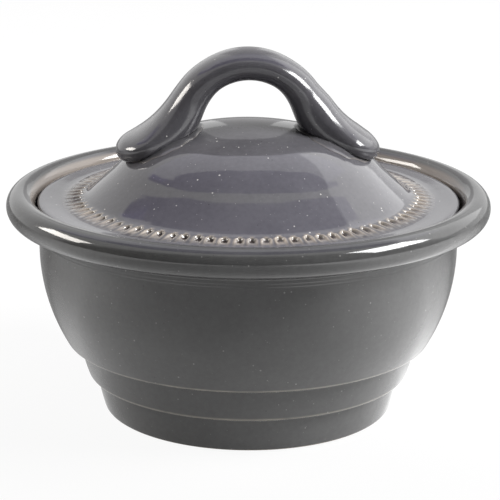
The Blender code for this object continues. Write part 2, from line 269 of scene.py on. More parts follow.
def turned(name: str, outline: Sequence[Point], steps: int) -> Object:
    """Turn an outline about Z: one point is drawn out along the outline, then spun a full turn.

    Args:
        name: Name of the new object.
        outline: Radius and height of each point, in mm.
        steps: Chords in a full turn.

    Returns:
        The turned object.
    """
    deselect()
    bpy.ops.mesh.primitive_plane_add(size=MM)
    obj = bpy.context.object
    obj.name = obj.data.name = name
    with editing(obj):
        bpy.ops.mesh.merge(type="CENTER")
        bpy.ops.transform.translate(value=(outline[0][0] * MM, 0.0, outline[0][1] * MM))
        for here, ahead in zip(outline, outline[1:]):
            step = ((ahead[0] - here[0]) * MM, 0.0, (ahead[1] - here[1]) * MM)
            bpy.ops.mesh.extrude_vertices_move(TRANSFORM_OT_translate={"value": step})
        bpy.ops.mesh.select_all(action="SELECT")
        axis = {"center": (0.0, 0.0, 0.0), "axis": (0.0, 0.0, 1.0)}
        bpy.ops.mesh.spin(steps=steps, angle=FULL_TURN, **axis)
        close_seams()
    bpy.ops.object.shade_smooth()
    return obj


def add_node(
    tree: bpy.types.NodeTree,
    kind: str,
    inputs: dict[str | int, object] | None = None,
    **settings: object,
) -> Node:
    """Add a node with its settings, values and links.

    Args:
        tree: Node tree that gets the node.
        kind: Blender's name for the kind of node.
        inputs: For each input a value, an output to link, or a node whose first live output is.
        settings: Values of the node's own fields.

    Returns:
        The new node.
    """
    node = tree.nodes.new(kind)
    for name, value in settings.items():
        setattr(node, name, value)
    for key, value in (inputs or {}).items():
        if isinstance(value, Node):
            value = next(output for output in value.outputs if output.enabled)
        if isinstance(value, bpy.types.NodeSocket):
            tree.links.new(value, node.inputs[key])
        else:
            node.inputs[key].default_value = value
    return node


def new_material(name: str) -> tuple[bpy.types.Material, Adder]:
    """Make a material without nodes.

    Args:
        name: Name of the material.

    Returns:
        The material, and add_node for its tree.
    """
    material = bpy.data.materials.new(name)
    material.use_nodes = True
    material.node_tree.nodes.clear()
    return material, partial(add_node, material.node_tree)


@dataclass(frozen=True)
class StonewareGlaze:
    """Glossy grey stoneware glaze, dipped and fired over speckled clay. Lengths in mm.

    To the eye it is a smooth glassy coat, faintly mottled where it ran thicker or thinner, with
    pale and dark specks of the clay showing through, and it turns thin, warm and pale where it
    draws back from an edge.
    """

    name: str
    thick: str
    thin: str
    edge: str
    roughness: float
    pale_specks: float = 1.0
    edge_rings: tuple[Point, ...] = ()
    edge_attribute: str = ""
    pool_attribute: str = ""
    pooled: str = "3f342c"
    # Ring of painted light on the gallery wall (radius, lowest and highest height), and its lighter
    # tint.
    painted_light_ring: tuple[float, float, float] | None = None
    painted_light_colour: str = "857d76"
    bare_below: float = -1.0
    clay: str = "9a8f80"
    clay_roughness: float = 0.85
    ior: float = 1.52

    def material(self) -> bpy.types.Material:
        """Build the node material.

        Returns:
            The new material.
        """
        material, add = new_material(self.name)
        place = add("ShaderNodeTexCoord").outputs["Object"]
        profile = self.profile(add, place)
        rough = self.sheen(add, place)
        layers = self.specks(add, place)
        layers += self.edges(add, place, profile)
        # Painted light: a lighter tint on the gallery wall.
        layers += self.painted_light_on_wall(add, profile)
        if self.bare_below > 0.0:
            bare = self.bare(add, profile)
            layers.append((bare, self.clay))
            rough = add(MIX, {"Factor": bare, "A": rough, "B": self.clay_roughness})
        colour = self.mottle(add, place)
        for mask, hex_colour in layers:
            layer = {"Factor": mask, 6: colour, 7: linear(hex_colour)}
            colour = add(MIX, layer, data_type="RGBA")
        coat = {"Base Color": colour, "Roughness": rough, "Normal": self.skin(add, place)}
        shader = add("ShaderNodeBsdfPrincipled", coat | {"IOR": self.ior, "Metallic": 0.0})
        add("ShaderNodeOutputMaterial", {"Surface": shader})
        return material

    def profile(self, add: Adder, place: Socket) -> Node:
        """Place on the turned outline.

        Args:
            add: Adds a node.
            place: Object coordinates.

        Returns:
            A vector of the distance from the axis, the height and 0.
        """
        flat = add(VECTOR, {0: place, 1: (1.0, 1.0, 0.0)}, operation="MULTIPLY")
        away = add(VECTOR, {0: flat}, operation="LENGTH")
        return add(JOIN, {"X": away, "Y": add(SPLIT, {"Vector": place}).outputs["Z"]})

    def mottle(self, add: Adder, place: Socket) -> Node:
        """Colour that drifts between thick and thin glaze over 14 mm, with a finer 1.2 mm grain.

        Args:
            add: Adds a node.
            place: Object coordinates.

        Returns:
            The colour.
        """
        drift = {"Vector": place, "Scale": scale_of(14.0), "Detail": 3.0, "Roughness": 0.55}
        grain = {"Vector": place, "Scale": scale_of(1.2), "Detail": 2.0, "Roughness": 0.6}
        both = add(MIX, {"Factor": 0.4, "A": add(NOISE, drift), "B": add(NOISE, grain)})
        ramp = add(RANGE, {"Value": both, 1: 0.36, 2: 0.64})
        layer = {"Factor": ramp, 6: linear(self.thick), 7: linear(self.thin)}
        return add(MIX, layer, data_type="RGBA")

    def specks(self, add: Adder, place: Socket) -> list[Layer]:
        """Fine pale specks, larger pale ones up to 0.5 mm across, and rarer dark ones.

        Args:
            add: Adds a node.
            place: Object coordinates.

        Returns:
            Mask and colour of each kind of speck.
        """
        kinds = (
            (1.0, 0.16, 0.45 * self.pale_specks, "b4b2b0"),
            (1.7, 0.26, 0.85 * self.pale_specks, "c8c6c3"),
            (2.2, 0.26, 0.6, "2b2a2b"),
        )
        layers: list[Layer] = []
        for cell, radius, strength, hex_colour in kinds:
            share = radius / cell
            cells = add("ShaderNodeTexVoronoi", {"Vector": place, "Scale": scale_of(cell)})
            chance = add("ShaderNodeSeparateColor", {"Color": cells.outputs["Color"]})
            reach = add(RANGE, {"Value": chance, 1: 0.45, 2: 1.0, 3: 0.0, 4: share})
            near = add(MATH, {0: reach, 1: cells.outputs["Distance"]}, operation="SUBTRACT")
            mask = add(RANGE, {"Value": near, 1: 0.0, 2: 0.35 * share, 3: 0.0, 4: strength})
            layers.append((mask, hex_colour))
        return layers

    def edges(self, add: Adder, place: Socket, profile: Node) -> list[Layer]:
        """Pale lines round given rings of the outline and where the glaze draws back from edges,
        and dark glaze pooled in hollows.

        Args:
            add: Adds a node.
            place: Object coordinates.
            profile: Place on the turned outline.

        Returns:
            Mask and colour of each line, and of the pools.
        """
        uneven = {"Vector": place, "Scale": scale_of(9.0), "Detail": 3.0, "Roughness": 0.6}
        share = add(RANGE, {"Value": add(NOISE, uneven), 1: 0.3, 2: 0.62, 3: 0.4, 4: 0.9})
        lines: list[Node | Socket] = []
        # Pale lines round the given rings of the outline, such as the bowl's tier edges.
        for r, z in self.edge_rings:
            far = add(VECTOR, {0: profile, 1: (r * MM, z * MM, 0.0)}, operation="DISTANCE")
            lines.append(add(RANGE, {"Value": far, 1: 0.8 * MM, 2: 0.2 * MM}, **SOFT))
        if self.edge_attribute:
            lines.append(add(ATTRIBUTE, attribute_name=self.edge_attribute).outputs["Fac"])
        layers: list[Layer] = []
        for line in lines:
            layers.append((add(MATH, {0: line, 1: share}, operation="MULTIPLY"), self.edge))
        if self.pool_attribute:
            hollow = add(ATTRIBUTE, attribute_name=self.pool_attribute)
            layers.append((hollow.outputs["Fac"], self.pooled))
        return layers

    def painted_light_on_wall(self, add: Adder, profile: Node) -> list[Layer]:
        """Painted light: a lighter warm tint on a ring of the gallery wall, where it stands in for
        the light falling there.

        Args:
            add: Adds a node.
            profile: Place on the turned outline.

        Returns:
            Mask and colour of the ring, or nothing where there is none.
        """
        if self.painted_light_ring is None:
            return []
        radius, low, high = (size * MM for size in self.painted_light_ring)
        parts = add(SPLIT, {"Vector": profile})
        away, height = parts.outputs["X"], parts.outputs["Y"]
        ring = add(MATH, {0: height, 1: low}, operation="GREATER_THAN")
        for value, limit, fade in ((away, radius, 1.2), (height, high, 1.0)):
            under = add(RANGE, {"Value": value, 1: limit, 2: limit - fade * MM}, **SOFT)
            ring = add(MATH, {0: ring, 1: under}, operation="MULTIPLY")
        return [(ring, self.painted_light_colour)]

    def bare(self, add: Adder, profile: Node) -> Node:
        """Mask of the unglazed buff clay at the foot, which was wiped before firing."""
        height = add(SPLIT, {"Vector": profile}).outputs["Y"]
        return add(MATH, {0: height, 1: self.bare_below * MM}, operation="LESS_THAN")

    def sheen(self, add: Adder, place: Socket) -> Node:
        """Gloss that varies a little over 6 mm patches.

        Args:
            add: Adds a node.
            place: Object coordinates.

        Returns:
            The roughness.
        """
        patches = add(NOISE, {"Vector": place, "Scale": scale_of(6.0), "Detail": 2.0})
        least, most = 0.8 * self.roughness, 1.25 * self.roughness
        return add(RANGE, {"Value": patches, 1: 0.3, 2: 0.7, 3: least, 4: most})

    def skin(self, add: Adder, place: Socket) -> Node:
        """Fired skin: soft waves of 7 mm, level turning lines and pinholes under a millimetre.

        Args:
            add: Adds a node.
            place: Object coordinates.

        Returns:
            The bumped normal.
        """
        level = add(VECTOR, {0: place, 1: (0.04, 0.04, 1.0)}, operation="MULTIPLY")
        reliefs = (
            (place, 7.0, 1.0, 0.25, 0.12),
            (level, 1.6, 2.0, 0.2, 0.04),
            (place, 0.9, 1.0, 0.12, 0.03),
        )
        under: dict[str, Node] = {}
        for where, size, detail, strength, depth in reliefs:
            relief = add(NOISE, {"Vector": where, "Scale": scale_of(size), "Detail": detail})
            bump = {"Height": relief, "Strength": strength, "Distance": depth * MM}
            under = {"Normal": add("ShaderNodeBump", bump | under)}
        return under["Normal"]


def dress(obj: Object, glaze: StonewareGlaze, body: Body, slot: Slot, *nodes: str) -> None:
    """Glaze a piece, make it move with its body and let it stand for its solids.

    Args:
        obj: The finished piece.
        glaze: Its finish.
        body: Body that it moves with.
        slot: Material slot of the record; not used.
        nodes: Solids that it stands for.
    """
    obj.data.materials.clear()
    obj.data.materials.append(glaze.material())
    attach(obj, body.value)
    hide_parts(*nodes)
    log.info("%s: %d faces, for %s", obj.name, len(obj.data.polygons), ", ".join(nodes))


@dataclass
class Bowl:
    """Turned bowl with a stepped foot, a beaded neck and a rolled rim. Sizes in mm."""

    recess: tuple[Corner, ...] = ((29.8, 0.0, 0.5), (28.6, 1.2, 0.6), (0.0, 1.2, 0.0))
    foot_radius: float = 36.65
    lower_top: Point = (38.65, 8.4)
    lower_bulge: float = 0.15
    middle_base: Point = (40.75, 9.3)
    middle_top: Point = (42.7, 17.0)
    middle_bulge: float = 0.25
    tier_top_rounding: float = 0.3
    tier_base_rounding: float = 0.9
    body_base: Point = (46.15, 18.4)
    body_base_rounding: float = 1.1
    body_radius: float = 52.55
    body_top: float = 42.0
    neck_top: float = 46.85
    cove_rise: float = 0.9
    cove_rounding: float = 1.6
    bead_height: float = 0.75
    bead_proud: float = 0.035
    roll_centre: Point = (56.95, 52.9)
    roll_half: Point = (3.55, 3.6)
    roll_end: float = -100.0
    gallery_foot: float = 53.4
    ledge_height: float = 50.1
    ledge_inner: float = 48.2
    ledge_rounding: float = 0.9
    inside_radius: float = 48.0
    inside_floor: float = 6.5
    inside_fullness: float = 2.4
    # Ring of painted light on the gallery wall: radius, lowest and highest height.
    painted_light_ring: tuple[float, float, float] = (55.6, 50.4, 56.0)
    bare_below: float = 0.3
    steps: int = 256

    def inside(self) -> list[Corner]:
        """Inside from the middle of the floor to the lid's ledge and the gallery wall.

        Returns:
            Corners from the middle out.
        """
        depth = self.body_top - self.inside_floor
        power = 2.0 / self.inside_fullness
        corners: list[Corner] = [(0.0, self.inside_floor, 0.0)]
        count = 36
        for i in range(1, count + 1):
            angle = math.pi / 2 * i / count
            r = self.inside_radius * math.sin(angle) ** power
            drop = depth * max(0.0, math.cos(angle)) ** power
            corners.append((r, self.body_top - drop, 0.0))
        for r in (self.ledge_inner, self.gallery_foot):
            corners.append((r, self.ledge_height, self.ledge_rounding))
        return corners

    def neck(self) -> list[Corner]:
        """Cove under the roll and the two fine beads below it.

        Returns:
            Corners from the top down.
        """
        r = self.body_radius
        corners = [(r, self.neck_top + self.cove_rise, self.cove_rounding), (r, self.neck_top, 0.0)]
        count = 20
        for i in range(1, count + 1):
            down = 2.0 * self.bead_height * i / count
            proud = self.bead_proud * math.sin(math.pi * down / self.bead_height) ** 2
            corners.append((r + proud, self.neck_top - down, 0.0))
        return corners

    def tier(self, top: Point, base: Point, bulge: float) -> list[Corner]:
        """One stepped tier, bulging a little between its sharp top and its rounded lower edge.

        Args:
            top: Upper end of the tier.
            base: Lower end of the tier.
            bulge: How far its middle stands out.

        Returns:
            Corners from the top down.
        """
        corners: list[Corner] = [(*top, self.tier_top_rounding)]
        count = 8
        for i in range(1, count):
            t = i / count
            r = top[0] + (base[0] - top[0]) * t + 4.0 * bulge * t * (1.0 - t)
            corners.append((r, top[1] + (base[1] - top[1]) * t, 0.0))
        corners.append((*base, self.tier_base_rounding))
        return corners

    def outside(self) -> list[Corner]:
        """Body, tiers, foot and the recess under it.

        Returns:
            Corners from the neck down to the middle of the base.
        """
        swell = self.body_radius - self.body_base[0]
        fall = self.body_top - self.body_base[1]
        radius = (swell**2 + fall**2) / (2.0 * swell)
        end = -math.degrees(math.asin(fall / radius))
        corners = arc((self.body_radius - radius, self.body_top), (radius, radius), 0.0, end, 36)
        corners[-1] = (*self.body_base, self.body_base_rounding)
        corners += self.tier(self.middle_top, self.middle_base, self.middle_bulge)
        corners += self.tier(self.lower_top, (self.foot_radius, 0.0), self.lower_bulge)
        return corners + list(self.recess)

    def build(self) -> Object:
        """Turn the whole outline.

        Returns:
            The bowl.
        """
        roll = arc(self.roll_centre, self.roll_half, 180.0, self.roll_end, 56)
        outline = rounded(self.inside() + roll + self.neck() + self.outside())
        return turned("bowl_turned", outline, self.steps)

    def dress(self, obj: Object) -> None:
        """Glaze the bowl.

        Args:
            obj: The bowl.
        """
        glaze = StonewareGlaze(
            name="grey_stoneware_glaze_dipped_bowl",
            thick="444444",
            thin="4d4d4d",
            edge="827d72",
            roughness=0.09,
            pale_specks=0.28,
            edge_rings=(self.body_base, self.middle_base),
            painted_light_ring=self.painted_light_ring,
            bare_below=self.bare_below,
        )
        dress(obj, glaze, Body.BOWL, Slot.BOWL, "bowl")


@dataclass(frozen=True)
class Notch:
    """One notch of the lid's band, as the tool pressed it. Angles in radians, lengths in mm."""

    angle: float
    half_width: float
    depth: float
    shift: float
    lean: float


@dataclass
class Lid:
    """Drop-in lid: ogee dome, a ring of pressed notches round its foot and a thin flange.

    Sizes in mm. The flank and flange are radii with the downward slope there, in degrees.
    """

    apex: float = 72.7
    crown_angle: float = 15.5
    shoulder_middle: float = 10.41
    shoulder_radius: float = 31.5
    steepest: float = 46.0
    flank: tuple[Point, ...] = ((34.0, 43.1), (39.9, 39.5), (42.1, 10.5))
    flange: tuple[Point, ...] = ((46.0, 8.0), (47.2, 0.0), (48.6, -4.5), (51.2, -4.0), (52.8, 2.0))
    edge_radius: float = 52.8
    edge_rounding: float = 1.6
    underside: float = 50.4
    underside_rounding: float = 0.5
    seat_width: float = 2.2
    seat_rounding: float = 1.2
    hollow_radius: float = 39.0
    wall: float = 4.2
    band_inner: float = 40.4
    band_outer: float = 46.8
    band_rows: int = 27
    notch_seed: int = 11
    notch_count: int = 84
    notch_inner: float = 41.7
    notch_outer: float = 46.1
    notch_half_width: float = 0.95
    notch_depth: float = 0.7
    lip_height: float = 0.1
    columns_per_notch: int = 16
    steps: int = 336

    @property
    def seat_top(self) -> float:
        """Height that only the upper face of the band reaches."""
        return self.underside + 1.0

    def slope(self, r: float) -> float:
        """Downward slope of the lid's top.

        Args:
            r: Distance from the axis.

        Returns:
            The slope, in radians.
        """
        crown_angle = math.radians(self.crown_angle)
        crown_radius = self.shoulder_middle + self.shoulder_radius * math.sin(crown_angle)
        steep_sine = math.sin(math.radians(self.steepest))
        steep_radius = self.shoulder_middle + self.shoulder_radius * steep_sine
        if r < crown_radius:
            return math.asin(r / crown_radius * math.sin(crown_angle))
        if r < steep_radius:
            return math.asin((r - self.shoulder_middle) / self.shoulder_radius)
        ends = ((steep_radius, self.steepest), *self.flank, *self.flange)
        for (r0, s0), (r1, s1) in zip(ends, ends[1:]):
            if r <= r1:
                return math.radians(s0 + (s1 - s0) * (r - r0) / (r1 - r0))
        return math.radians(self.flange[-1][1])

    def height(self, r: float) -> float:
        """Height of the lid's top, summed up from its slope in steps of 0.1 mm.

        Args:
            r: Distance from the axis.

        Returns:
            The height.
        """
        count = max(2, int(r / 0.1))
        drop = sum(math.tan(self.slope(r * (i + 0.5) / count)) for i in range(count)) * r / count
        return self.apex - drop

    def top(self, radii: Sequence[float]) -> list[Corner]:
        """Corners of the lid's top at some radii."""
        return [(r, self.height(r), 0.0) for r in radii]

    def rest(self) -> list[Corner]:
        """Flange, edge, seat and the hollow under the dome.

        Returns:
            Corners from the band round the edge to the middle of the hollow.
        """
        corners = self.top([self.band_outer + 0.2 + 0.25 * i for i in range(18)])
        corners.append((self.edge_radius, self.height(self.edge_radius), self.edge_rounding))
        corners.append((self.edge_radius, self.underside, self.underside_rounding))
        inside = []
        count = 39
        for i in range(count + 1):
            r = self.hollow_radius * i / count
            slope = self.slope(r)
            z = self.height(r) - self.wall * math.cos(slope)
            inside.append((r - self.wall * math.sin(slope), z, 0.0))
        corners.append((inside[-1][0] + self.seat_width, self.underside, self.seat_rounding))
        return corners + inside[::-1]

    def join_rings(self, obj: Object, low: float, high: float) -> None:
        """Bridge the two open rings that lie between two radii.

        Args:
            obj: Lid in edit mode.
            low: Lower radius.
            high: Higher radius.
        """

        def between(edge: bmesh.types.BMEdge) -> bool:
            """Whether an open edge lies between the radii, on top of the lid."""
            ends = [(Vector(v.co.xy).length / MM, v.co.z / MM) for v in edge.verts]
            return edge.is_boundary and all(low < r < high and z > self.seat_top for r, z in ends)

        select(obj, Pick.EDGES, between)
        bpy.ops.mesh.bridge_edge_loops()

    def notches(self) -> list[Notch]:
        """Draw the notches, each a little out of place, as pressed by hand.

        Returns:
            The notches round the lid, from +X on.
        """
        rng = random.Random(self.notch_seed)
        notches = []
        for i in range(self.notch_count):
            even = FULL_TURN * (i + 0.5) / self.notch_count
            notch = Notch(
                angle=even + math.radians(rng.uniform(-0.28, 0.28)),
                half_width=self.notch_half_width * rng.uniform(0.88, 1.1),
                depth=rng.uniform(0.78, 1.0),
                shift=rng.uniform(-0.25, 0.25),
                lean=rng.uniform(-0.012, 0.012),
            )
            notches.append(notch)
        return notches

    def marks(self, notch: Notch, r: float, angle: float) -> tuple[float, float, float, float]:
        """What a notch does at a place on the band: deep and round inwards, running out outwards.

        Args:
            notch: The notch.
            r: Distance of the place from the axis.
            angle: Angle of the place about the axis.

        Returns:
            Shares of clay pressed down, clay pushed up, thinned glaze and pooled glaze.
        """
        inner = self.notch_inner + notch.shift
        along = (r - inner) / (self.notch_outer - inner)
        across = (angle - notch.angle - notch.lean * (along - 0.5)) * r
        into = max(0.0, 1.0 - along / 0.28)
        width = notch.half_width * math.sqrt(max(0.0, 1.0 - into * into)) if along > 0.0 else 0.0
        edge = max(abs(across) - width, (inner - r) if along < 0.0 else -9.0)
        down = 1.0 - smooth(edge, -0.5, 0.12)
        down *= 1.0 - 0.75 * smooth(along, 0.15, 0.7) - 0.25 * smooth(along, 0.6, 1.05)
        # Shallower round the back, which the photo does not show.
        down *= 1.0 - 0.6 * smooth(math.sin(angle), 0.05, 0.35)
        down *= notch.depth
        up = math.exp(-(((edge - 0.22) / 0.22) ** 2)) * (1.0 - smooth(along, 0.4, 1.05))
        rubbed = math.exp(-(((edge - 0.05) / 0.42) ** 2)) * (1.0 - 0.8 * smooth(along, 0.45, 1.0))
        tail = 0.45 * (1.0 - smooth(edge, -0.3, 0.2))
        tail *= smooth(along, 0.25, 0.5) * (1.0 - smooth(along, 0.7, 1.0))
        return down, up, max(rubbed, tail), 0.9 * smooth(down, 0.55, 0.95)

    def press_notches(self, obj: Object) -> None:
        """Press the notches in by weight, with a lip of pushed-up clay, and mark the glaze there.

        Args:
            obj: The lid.
        """
        notches = self.notches()
        pressed = obj.vertex_groups.new(name="pressed")
        lip = obj.vertex_groups.new(name="lip")
        thin = [0.0] * len(obj.data.vertices)
        pooled = [0.0] * len(obj.data.vertices)
        for point in obj.data.vertices:
            r = point.co.xy.length / MM
            if not self.band_inner < r < self.band_outer or point.co.z / MM < self.seat_top:
                continue
            angle = math.atan2(point.co.y, point.co.x) % FULL_TURN
            notch = notches[int(angle / FULL_TURN * self.notch_count) % self.notch_count]
            down, up, thin[point.index], pooled[point.index] = self.marks(notch, r, angle)
            pressed.add([point.index], down, "REPLACE")
            lip.add([point.index], up, "REPLACE")
        for name, marks in (("thin_glaze", thin), ("pooled_glaze", pooled)):
            obj.data.attributes.new(name, "FLOAT", "POINT").data.foreach_set("value", marks)
        for group, strength in (("pressed", -self.notch_depth * MM), ("lip", self.lip_height * MM)):
            push = {"strength": strength, "mid_level": 0.0, "direction": "NORMAL"}
            apply_modifier(obj, "DISPLACE", vertex_group=group, **push)
        obj.vertex_groups.clear()

    def build(self) -> Object:
        """Turn the dome, the band and the rest, bridge them into one shell and press the notches.

        Returns:
            The lid.
        """
        inner, outer = self.band_inner, self.band_outer
        dome_radii = [inner * i / 64 for i in range(64)] + [inner - 0.15]
        rows = self.band_rows
        band_radii = [inner + (outer - inner) * i / rows for i in range(rows + 1)]
        columns = self.notch_count * self.columns_per_notch
        dome = turned("lid_turned", rounded(self.top(dome_radii)), self.steps)
        band = turned("lid_band", rounded(self.top(band_radii)), columns)
        rest = turned("lid_rest", rounded(self.rest()), self.steps)
        deselect()
        for piece in (band, rest, dome):
            piece.select_set(True)
        bpy.context.view_layer.objects.active = dome
        bpy.ops.object.join()
        with editing(dome):
            self.join_rings(dome, inner - 0.4, inner + 0.1)
            self.join_rings(dome, outer - 0.1, outer + 0.4)
            close_seams()
        self.press_notches(dome)
        activate(dome)
        bpy.ops.object.shade_smooth()
        return dome

    def dress(self, obj: Object) -> None:
        """Glaze the lid.

        Args:
            obj: The lid.
        """
        glaze = StonewareGlaze(
            name="grey_stoneware_glaze_dipped_lid",
            thick="545357",
            thin="5e5d61",
            edge="b0a597",
            roughness=0.065,
            edge_attribute="thin_glaze",
            pool_attribute="pooled_glaze",
        )
        dress(obj, glaze, Body.LID, Slot.LID, "lid")


@dataclass
class Handle:
    """Pulled strap handle: an arch whose legs flare into rounded feet laid on the dome.

    Sizes in mm, angles in degrees.
    """

    lid: Lid
    arch_inner: float = 12.3
    finger_gap: float = 11.2
    thickness: float = 7.6
    width: float = 16.0
    leg_angle: float = 56.0
    leg_thickness: float = 8.8
    leg_step: float = 0.02
    sideways: float = -0.25
    right_leg_fullness: float = 0.65
    gusset: float = 2.4
    flare_radius: float = 28.0
    foot_angle: float = 21.0
    foot_lift: float = 1.6
    foot_length: float = 4.6
    foot_width: float = 24.0
    foot_thickness: float = 5.8
    tip_rounding: float = 4.2
    plan_rounding: float = 9.0
    tip_point: float = 0.06
    least_half: float = 0.02
    clearance: float = 0.5
    top_power: float = 2.3
    under_power: float = 2.7
    tool_radius: float = 41.0
    tool_base: float = 40.0
    sides: int = 56

    def __post_init__(self) -> None:
        """Work out the lengths along the middle line, from the top of the arch to a foot's tip."""
        self.arch_radius = self.arch_inner + self.thickness / 2.0
        self.arch_height = self.lid.apex + self.finger_gap - self.arch_inner
        self.arch_length = self.arch_radius * math.radians(self.leg_angle)
        self.flare_length = self.flare_radius * math.radians(self.leg_angle - self.foot_angle)
        self.leg = 0.0
        x, z, _ = self.at(self.arch_length + self.flare_length)
        while z > self.lid.height(x) + self.foot_lift:
            self.leg += self.leg_step
            x, z, _ = self.at(self.arch_length + self.leg + self.flare_length)
        self.leg_end = self.arch_length + self.leg
        self.foot_start = self.leg_end + self.flare_length
        self.tip = self.foot_start + self.foot_length

    def at(self, distance: float) -> tuple[float, float, float]:
        """Place and slope of the middle line of the right half.

        Args:
            distance: Length along the line from the top.

        Returns:
            X, height and downward slope.
        """
        leg_angle = math.radians(self.leg_angle)
        slope = min(distance / self.arch_radius, leg_angle)
        x = self.arch_radius * math.sin(slope)
        z = self.arch_height + self.arch_radius * math.cos(slope)
        straight = min(max(distance - self.arch_length, 0.0), self.leg)
        x += straight * math.cos(leg_angle)
        z -= straight * math.sin(leg_angle)
        flare = min(max(distance - self.arch_length - self.leg, 0.0), self.flare_length)
        turn = flare / self.flare_radius
        x += self.flare_radius * (math.sin(leg_angle) - math.sin(leg_angle - turn))
        z -= self.flare_radius * (math.cos(leg_angle - turn) - math.cos(leg_angle))
        slope -= turn
        foot = max(distance - self.arch_length - self.leg - self.flare_length, 0.0)
        return x + foot * math.cos(slope), z - foot * math.sin(slope), slope

    def section(self, distance: float) -> tuple[float, float, float]:
        """Half sizes of the section at a distance from the top.

        Args:
            distance: Length along the middle line.

        Returns:
            Half thickness above the middle line, half thickness below it, and half width.
        """
        flare_middle = self.leg_end + self.flare_length / 2.0
        legs = smooth(distance, self.arch_length / 2.0, self.leg_end)
        feet = smooth(distance, self.leg_end, self.tip)
        thick = self.thickness + (self.leg_thickness - self.thickness) * legs
        thick += (self.foot_thickness - self.leg_thickness) * feet
        spread = smooth(distance, self.arch_length, self.foot_start)
        wide = self.width + (self.foot_width - self.width) * spread
        gusset = smooth(distance, self.arch_length, flare_middle)
        gusset = self.gusset * (gusset - smooth(distance, flare_middle, self.tip))
        ends = []
        for rounding in (self.tip_rounding, self.plan_rounding):
            into = max(0.0, 1.0 - (self.tip - distance) / rounding)
            ends.append(math.sqrt(max(0.0, 1.0 - into * into)))
        return thick / 2.0 * ends[0], (thick / 2.0 + gusset) * ends[0], wide / 2.0 * ends[1]

    def stations(self) -> list[float]:
        """Places of the sections on one side, closer together round the tip.

        Returns:
            Distances from the top.
        """
        body = self.tip - self.plan_rounding
        count = 44
        distances = [body * i / count for i in range(count)]
        count = 24
        for i in range(count + 1):
            distances.append(body + self.plan_rounding * math.sin(math.pi / 2 * i / count))
        return distances

    def add_section(self, distance: float, side: float) -> None:
        """Add one section to the mesh in edit mode: a circle, flattened and moved to its place.

        Args:
            distance: Length along the middle line from the top.
            side: 1 for the right half and -1 for the left.
        """
        x, z, slope = self.at(distance)
        above, below, half_width = self.section(distance)
        if side > 0.0:
            fuller = smooth(distance, self.arch_length, self.leg_end + 3.0)
            fuller *= 1.0 - smooth(distance, self.foot_start - 3.0, self.tip - 1.0)
            above += self.right_leg_fullness * fuller
        above, below, half_width = (max(h, self.least_half) for h in (above, below, half_width))
        bpy.ops.mesh.primitive_circle_add(vertices=self.sides, radius=MM)
        shape = bmesh.from_edit_mesh(bpy.context.object.data)
        move = Matrix.Translation(((side * x + self.sideways) * MM, 0.0, z * MM))
        move = move @ Matrix.Rotation(side * slope, 4, "Y")
        for point in shape.verts:
            if abs(point.co.z) > MERGE_DISTANCE:
                continue
            across, up = point.co.x / MM, point.co.y / MM
            power, tall = (self.top_power, above) if up > 0.0 else (self.under_power, below)
            across = math.copysign(abs(across) ** (2.0 / power), across) * half_width
            up = math.copysign(abs(up) ** (2.0 / power), up) * tall
            point.co = move @ Vector((0.0, across * MM, up * MM))

    def fit_to_dome(self, obj: Object) -> None:
        """Press the feet against the dome with a tool of its shape.

        Args:
            obj: The handle.
        """
        radii = [self.tool_radius * i / 80 for i in range(81)]
        base = [(self.tool_radius, self.tool_base, 0.0), (0.0, self.tool_base, 0.0)]
        dome = turned("dome_tool", rounded(self.lid.top(radii) + base), 128)
        apply_modifier(
            obj,
            "SHRINKWRAP",
            target=dome,
            wrap_method="NEAREST_SURFACEPOINT",
            wrap_mode="OUTSIDE",
            offset=self.clearance * MM,
        )
        bpy.data.objects.remove(dome)

    def build(self) -> Object:
        """Bridge the sections from tip to tip and press the feet against the dome.

        Returns:
            The handle.
        """
        deselect()
        distances = self.stations()
        places = [(d, -1.0) for d in distances[:0:-1]] + [(d, 1.0) for d in distances]
        bpy.ops.mesh.primitive_plane_add(size=MM)
        obj = bpy.context.object
        obj.name = obj.data.name = "handle_pulled"
        with editing(obj):
            bpy.ops.mesh.delete(type="VERT")
            for distance, side in places:
                self.add_section(distance, side)
            bpy.ops.mesh.select_all(action="SELECT")
            bpy.ops.mesh.bridge_edge_loops()
            tip_x = self.at(self.tip)[0] - self.tip_point
            for side in (-1.0, 1.0):
                select(
                    obj, Pick.POINTS, lambda v, s=side: s * (v.co.x / MM - self.sideways) > tip_x
                )
                bpy.ops.mesh.merge(type="CENTER")
            close_seams()
        self.fit_to_dome(obj)
        activate(obj)
        bpy.ops.object.shade_smooth()
        return obj

    def dress(self, obj: Object) -> None:
        """Glaze the handle.

        Args:
            obj: The handle.
        """
        glaze = StonewareGlaze(
            name="grey_stoneware_glaze_dipped_handle",
            thick="464549",
            thin="504f53",
            edge="a89a8c",
            roughness=0.15,
        )
        dress(obj, glaze, Body.LID, Slot.HANDLE, "lid_handle")


